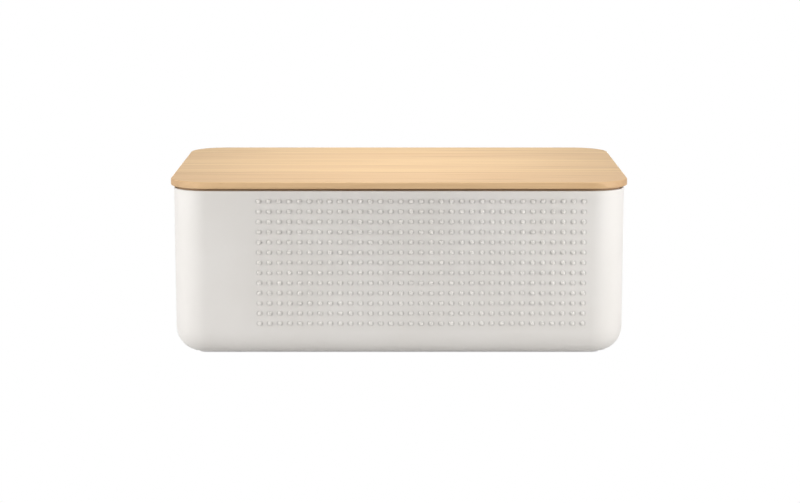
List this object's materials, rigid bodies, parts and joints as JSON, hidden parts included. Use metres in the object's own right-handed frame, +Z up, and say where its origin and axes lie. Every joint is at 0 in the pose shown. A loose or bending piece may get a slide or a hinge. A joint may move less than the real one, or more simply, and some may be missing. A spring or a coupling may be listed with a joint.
{
  "type": "bread box",
  "caption": "Low rounded bread box: a moulded off-white bin with a grid of raised dots on its front, closed by a lift-off wooden board that drops into a stepped rim.",
  "frame": {"origin": "on the table, under the middle of the box", "axes": "+X along the length to the right as seen from the front, +Y from the front to the back, +Z up"},
  "size_m": [0.37, 0.23, 0.1435],
  "materials": {
    "body_plastic": "satin, off-white",
    "lid_wood": "oiled, satin",
    "foot_silicone": "matte silicone"
  },
  "bodies": {
    "box": {"body": "body_plastic", "foot_front_left": "foot_silicone", "foot_front_right": "foot_silicone", "foot_back_left": "foot_silicone", "foot_back_right": "foot_silicone"},
    "lid": {"lid_stave_01": "lid_wood", "lid_stave_02": "lid_wood", "lid_stave_03": "lid_wood", "lid_stave_04": "lid_wood", "lid_stave_05": "lid_wood", "lid_stave_06": "lid_wood", "lid_stave_07": "lid_wood", "lid_stave_08": "lid_wood", "lid_stave_09": "lid_wood", "lid_stave_10": "lid_wood", "lid_stave_11": "lid_wood"}
  },
  "joints": [
    {"name": "lid_lift", "type": "slide", "parent": "box", "child": "lid", "axis": [0, 0, 1], "range_m": [0, 0.2]}
  ]
}
